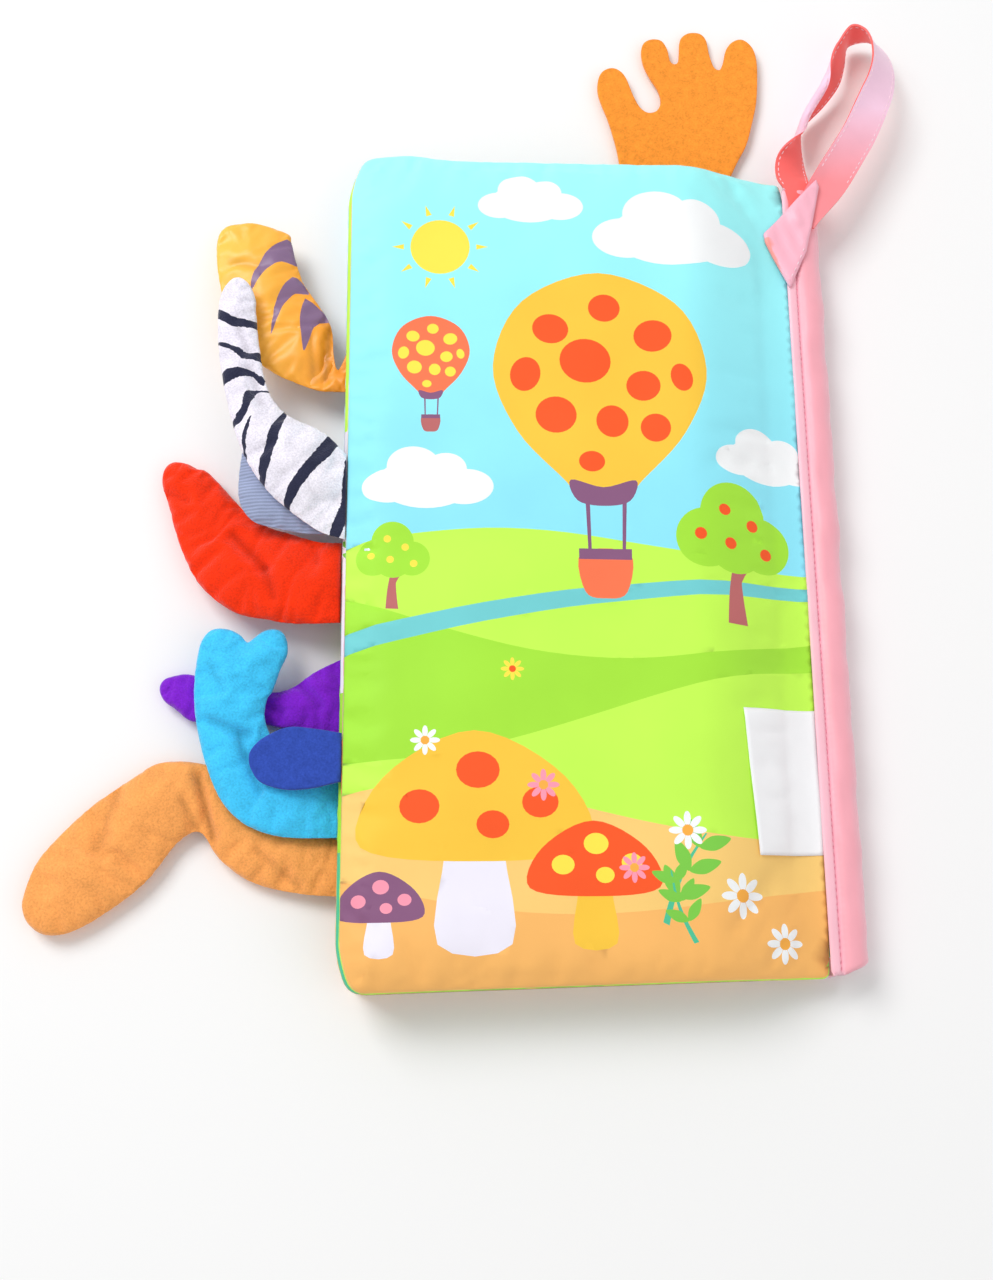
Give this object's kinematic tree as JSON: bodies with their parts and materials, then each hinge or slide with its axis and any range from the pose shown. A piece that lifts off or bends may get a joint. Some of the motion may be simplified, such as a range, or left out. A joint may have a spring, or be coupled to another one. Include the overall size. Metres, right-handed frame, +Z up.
{
  "type": "crinkle cloth book",
  "caption": "Soft cloth book of padded crinkle leaves in a taped spine, with stuffed tails along the fore edge, a felt antler and a hanging strap.",
  "frame": {"origin": "middle of the flat underside of the front cover, which the book lies on", "axes": "+Z up through the stack of leaves, +Y to the top edge of the pages, +X to the spine"},
  "size_m": [0.2523, 0.2974, 0.0226],
  "materials": {
    "printed_cloth": "smooth printed polyester, soft sheen",
    "batting": "thin polyester wadding",
    "crinkle_film": "crumpled crackle film",
    "satin_tape": "pink satin ribbon",
    "label_satin": "white label satin",
    "orange_felt": "speckled felt",
    "zebra_plush": "short white pile with dark stripes",
    "ribbed_cloth": "fine ribbed cloth",
    "red_plush": "short pile",
    "tiger_satin": "smooth printed satin with stripes",
    "light_blue_plush": "short pile",
    "purple_plush": "short pile",
    "tan_plush": "short pile",
    "blue_felt": "felt"
  },
  "bodies": {
    "spine_and_front_cover": {"front_cover_lower_cloth": "printed_cloth", "front_cover_batting": "batting", "front_cover_crinkle_film": "crinkle_film", "front_cover_upper_cloth": "printed_cloth", "binding_tape": "satin_tape", "spine_seam_edges": "printed_cloth", "strap_base_fold": "satin_tape"},
    "page_one": {"page_one_lower_cloth": "printed_cloth", "page_one_batting": "batting", "page_one_crinkle_film": "crinkle_film", "page_one_upper_cloth": "printed_cloth"},
    "page_two": {"page_two_lower_cloth": "printed_cloth", "page_two_batting": "batting", "page_two_crinkle_film": "crinkle_film", "page_two_upper_cloth": "printed_cloth"},
    "page_three": {"page_three_lower_cloth": "printed_cloth", "page_three_batting": "batting", "page_three_crinkle_film": "crinkle_film", "page_three_upper_cloth": "printed_cloth"},
    "back_cover": {"back_cover_lower_cloth": "printed_cloth", "back_cover_batting": "batting", "back_cover_crinkle_film": "crinkle_film", "back_cover_upper_cloth": "printed_cloth", "care_label": "label_satin"},
    "zebra_tail": {"zebra_tail": "zebra_plush"},
    "blue_felt_tuft": {"blue_felt_tuft": "blue_felt"},
    "grey_ribbed_tail": {"grey_ribbed_tail": "ribbed_cloth"},
    "red_tail": {"red_tail": "red_plush"},
    "tiger_tail": {"tiger_tail": "tiger_satin"},
    "light_blue_tail": {"light_blue_tail": "light_blue_plush"},
    "purple_tail": {"purple_tail": "purple_plush"},
    "tan_tail": {"tan_tail": "tan_plush"},
    "felt_antler": {"felt_antler": "orange_felt"},
    "strap_loop": {"strap_loop": "satin_tape"}
  },
  "joints": [
    {"name": "back_cover_turn", "type": "hinge", "parent": "spine_and_front_cover", "child": "back_cover", "pos_m": [0.0645, 0, 0.0118], "axis": [0, 1, 0], "range_deg": [0, 144]},
    {"name": "page_three_turn", "type": "hinge", "parent": "spine_and_front_cover", "child": "page_three", "pos_m": [0.0645, 0, 0.0118], "axis": [0, 1, 0], "range_deg": [0, 108]},
    {"name": "page_two_turn", "type": "hinge", "parent": "spine_and_front_cover", "child": "page_two", "pos_m": [0.0645, 0, 0.0118], "axis": [0, 1, 0], "range_deg": [0, 72]},
    {"name": "page_one_turn", "type": "hinge", "parent": "spine_and_front_cover", "child": "page_one", "pos_m": [0.0645, 0, 0.0118], "axis": [0, 1, 0], "range_deg": [0, 36]},
    {"name": "zebra_tail_lift", "type": "hinge", "parent": "back_cover", "child": "zebra_tail", "pos_m": [-0.0658, 0.014, 0.01785], "axis": [0, 1, 0], "range_deg": [0, 70]},
    {"name": "blue_felt_tuft_lift", "type": "hinge", "parent": "back_cover", "child": "blue_felt_tuft", "pos_m": [-0.066, -0.059, 0.01785], "axis": [0, 1, 0], "range_deg": [0, 70]},
    {"name": "grey_ribbed_tail_hang", "type": "hinge", "parent": "page_three", "child": "grey_ribbed_tail", "pos_m": [-0.067, 0.015, 0.01385], "axis": [0, 1, 0], "range_deg": [-30, 0]},
    {"name": "red_tail_hang", "type": "hinge", "parent": "page_three", "child": "red_tail", "pos_m": [-0.067, -0.0085, 0.01385], "axis": [0, 1, 0], "range_deg": [-30, 0]},
    {"name": "tiger_tail_hang", "type": "hinge", "parent": "page_two", "child": "tiger_tail", "pos_m": [-0.0663, 0.056, 0.00985], "axis": [0, 1, 0], "range_deg": [-30, 0]},
    {"name": "light_blue_tail_hang", "type": "hinge", "parent": "page_two", "child": "light_blue_tail", "pos_m": [-0.0663, -0.069, 0.00985], "axis": [0, 1, 0], "range_deg": [-30, 0]},
    {"name": "purple_tail_hang", "type": "hinge", "parent": "page_one", "child": "purple_tail", "pos_m": [-0.0663, -0.0395, 0.00585], "axis": [0, 1, 0], "range_deg": [-30, 0]},
    {"name": "tan_tail_hang", "type": "hinge", "parent": "page_one", "child": "tan_tail", "pos_m": [-0.0663, -0.087, 0.00585], "axis": [0, 1, 0], "range_deg": [-30, 0]},
    {"name": "felt_antler_lift", "type": "hinge", "parent": "spine_and_front_cover", "child": "felt_antler", "pos_m": [0.035, 0.1193, 0.00185], "axis": [1, 0, 0], "range_deg": [0, 75]},
    {"name": "strap_loop_swing", "type": "hinge", "parent": "spine_and_front_cover", "child": "strap_loop", "pos_m": [0.075, 0.1189, 0.0123], "axis": [1, 0, 0], "range_deg": [0, 70]}
  ],
  "couplings": [
    {"joint": "page_three_turn", "follows": "back_cover_turn", "ratio": 0.75},
    {"joint": "page_two_turn", "follows": "back_cover_turn", "ratio": 0.5},
    {"joint": "page_one_turn", "follows": "back_cover_turn", "ratio": 0.25},
    {"joint": "grey_ribbed_tail_hang", "follows": "back_cover_turn", "ratio": -0.2},
    {"joint": "red_tail_hang", "follows": "back_cover_turn", "ratio": -0.2},
    {"joint": "tiger_tail_hang", "follows": "back_cover_turn", "ratio": -0.2},
    {"joint": "light_blue_tail_hang", "follows": "back_cover_turn", "ratio": -0.2},
    {"joint": "purple_tail_hang", "follows": "back_cover_turn", "ratio": -0.1},
    {"joint": "tan_tail_hang", "follows": "back_cover_turn", "ratio": -0.1}
  ]
}
